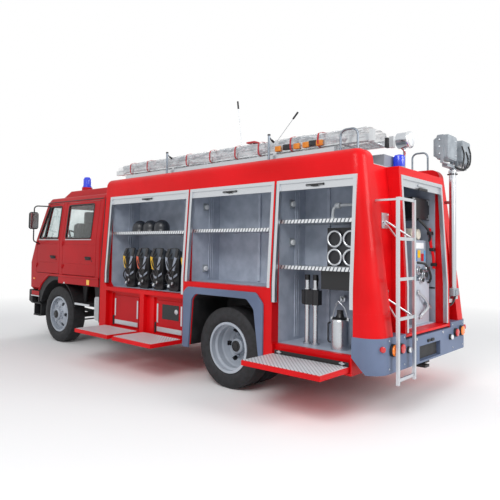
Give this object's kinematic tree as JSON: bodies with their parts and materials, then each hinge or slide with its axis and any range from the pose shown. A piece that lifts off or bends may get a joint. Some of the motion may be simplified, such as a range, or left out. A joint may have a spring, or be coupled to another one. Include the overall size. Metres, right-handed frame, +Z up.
{
  "type": "crew-cab fire and rescue truck",
  "caption": "Red crew-cab fire and rescue truck with open equipment compartments, fold-down steps, roof ladder and light mast.",
  "frame": {"origin": "on the ground, under the middle of the truck's length and width", "axes": "+X forward, +Y to the truck's left, +Z up"},
  "size_m": [7.47, 3.436, 3.9304],
  "materials": {
    "body_red": "gloss",
    "cab_red": "gloss",
    "bumper_grey": "satin",
    "lining_grey": "satin",
    "bare_aluminium": "satin",
    "steel_tube": "satin",
    "chassis_black": "satin",
    "black_plastic": "matte",
    "window_glass": "clear",
    "beacon_blue": "gloss",
    "lamp_lens": "gloss",
    "seat_fabric": "matte",
    "tyre_rubber": "matte",
    "rim_silver": "satin",
    "lamp_grey": "satin",
    "gear_dark": "matte",
    "tank_grey": "satin"
  },
  "bodies": {
    "truck": {"chassis_frame": "chassis_black", "front_axle": "chassis_black", "rear_axle": "chassis_black", "engine": "chassis_black", "fuel_tank": "tank_grey", "battery_box": "chassis_black", "front_bumper": "black_plastic", "headlamps": "window_glass", "body_shell": "body_red", "compartment_lining": "lining_grey", "opening_frames": "bare_aluminium", "shutter_bars": "bare_aluminium", "shelves": "bare_aluminium", "arch_trims": "bumper_grey", "wheel_houses": "black_plastic", "rear_bumper": "bumper_grey", "rear_lamps": "lamp_lens", "roof_deck": "bare_aluminium", "roof_rails": "steel_tube", "roof_ladder": "bare_aluminium", "roof_fittings": "lamp_grey", "mast_tube": "steel_tube", "rear_ladder": "bare_aluminium", "breathing_sets": "gear_dark", "stored_equipment": "steel_tube"},
    "mast": {"mast_head": "lamp_grey"},
    "cab": {"cab_shell": "cab_red", "windscreen": "window_glass", "grille": "black_plastic", "cab_beacons": "beacon_blue", "cab_interior": "seat_fabric", "cab_mudguards": "black_plastic"},
    "tie_rod": {"tie_rod": "chassis_black"},
    "door_fl": {"door_fl": "cab_red", "glass_fl": "window_glass", "mirror_l": "black_plastic"},
    "door_fr": {"door_fr": "cab_red", "glass_fr": "window_glass", "mirror_r": "black_plastic"},
    "door_rl": {"door_rl": "cab_red", "glass_rl": "window_glass"},
    "door_rr": {"door_rr": "cab_red", "glass_rr": "window_glass"},
    "knuckle_l": {"knuckle_l": "chassis_black"},
    "knuckle_r": {"knuckle_r": "chassis_black"},
    "wheel_fl": {"rim_fl": "rim_silver", "tyre_fl": "tyre_rubber"},
    "wheel_fr": {"rim_fr": "rim_silver", "tyre_fr": "tyre_rubber"},
    "wheel_rl": {"rim_rl": "rim_silver", "tyre_rl": "tyre_rubber"},
    "wheel_rr": {"rim_rr": "rim_silver", "tyre_rr": "tyre_rubber"},
    "step_front_l": {"step_front_l": "body_red"},
    "step_front_r": {"step_front_r": "body_red"},
    "step_middle_l": {"step_middle_l": "body_red"},
    "step_middle_r": {"step_middle_r": "body_red"},
    "step_rear_l": {"step_rear_l": "body_red"},
    "step_rear_r": {"step_rear_r": "body_red"}
  },
  "joints": [
    {"name": "cab_tilt", "type": "hinge", "parent": "truck", "child": "cab", "pos_m": [3.617, 0, 0.838], "axis": [0, 1, 0], "range_deg": [0, 45]},
    {"name": "mast_slide", "type": "slide", "parent": "truck", "child": "mast", "axis": [0, 0, 1], "range_m": [0, 1.3]},
    {"name": "door_fl_hinge", "type": "hinge", "parent": "cab", "child": "door_fl", "pos_m": [3.3415, 1.109, 1.5], "axis": [0, 0, -1], "range_deg": [0, 70]},
    {"name": "door_fr_hinge", "type": "hinge", "parent": "cab", "child": "door_fr", "pos_m": [3.3415, -1.109, 1.5], "axis": [0, 0, 1], "range_deg": [0, 70]},
    {"name": "door_rl_hinge", "type": "hinge", "parent": "cab", "child": "door_rl", "pos_m": [2.4165, 1.109, 1.5], "axis": [0, 0, -1], "range_deg": [0, 70]},
    {"name": "door_rr_hinge", "type": "hinge", "parent": "cab", "child": "door_rr", "pos_m": [2.4165, -1.109, 1.5], "axis": [0, 0, 1], "range_deg": [0, 70]},
    {"name": "steer_l", "type": "hinge", "parent": "truck", "child": "knuckle_l", "pos_m": [2.57, 0.745, 0.483], "axis": [0, 0, 1], "range_deg": [-35, 35]},
    {"name": "steer_r", "type": "hinge", "parent": "truck", "child": "knuckle_r", "pos_m": [2.57, -0.745, 0.483], "axis": [0, 0, 1], "range_deg": [-35, 35]},
    {"name": "tie_rod_left", "type": "hinge", "parent": "knuckle_l", "child": "tie_rod", "pos_m": [2.38, 0.745, 0.373], "axis": [0, 0, 1], "range_deg": [-35, 35]},
    {"name": "wheel_fl_spin", "type": "hinge", "parent": "knuckle_l", "child": "wheel_fl", "pos_m": [2.57, 0.933, 0.483], "axis": [0, 1, 0], "continuous": true},
    {"name": "wheel_fr_spin", "type": "hinge", "parent": "knuckle_r", "child": "wheel_fr", "pos_m": [2.57, -0.933, 0.483], "axis": [0, 1, 0], "continuous": true},
    {"name": "wheel_rl_spin", "type": "hinge", "parent": "truck", "child": "wheel_rl", "pos_m": [-1.645, 0.868, 0.483], "axis": [0, 1, 0], "continuous": true},
    {"name": "wheel_rr_spin", "type": "hinge", "parent": "truck", "child": "wheel_rr", "pos_m": [-1.645, -0.868, 0.483], "axis": [0, 1, 0], "continuous": true},
    {"name": "step_front_l_fold", "type": "hinge", "parent": "truck", "child": "step_front_l", "pos_m": [0.47, 1.172, 0.462], "axis": [1, 0, 0], "range_deg": [0, 90]},
    {"name": "step_front_r_fold", "type": "hinge", "parent": "truck", "child": "step_front_r", "pos_m": [0.47, -1.172, 0.462], "axis": [-1, 0, 0], "range_deg": [0, 90]},
    {"name": "step_middle_l_fold", "type": "hinge", "parent": "truck", "child": "step_middle_l", "pos_m": [-0.4625, 1.172, 0.462], "axis": [1, 0, 0], "range_deg": [0, 90]},
    {"name": "step_middle_r_fold", "type": "hinge", "parent": "truck", "child": "step_middle_r", "pos_m": [-0.4625, -1.172, 0.462], "axis": [-1, 0, 0], "range_deg": [0, 90]},
    {"name": "step_rear_l_fold", "type": "hinge", "parent": "truck", "child": "step_rear_l", "pos_m": [-2.8625, 1.172, 0.505], "axis": [1, 0, 0], "range_deg": [0, 90]},
    {"name": "step_rear_r_fold", "type": "hinge", "parent": "truck", "child": "step_rear_r", "pos_m": [-2.8625, -1.172, 0.505], "axis": [-1, 0, 0], "range_deg": [0, 90]}
  ],
  "couplings": [
    {"joint": "steer_r", "follows": "steer_l", "ratio": 1},
    {"joint": "tie_rod_left", "follows": "steer_l", "ratio": -1}
  ]
}
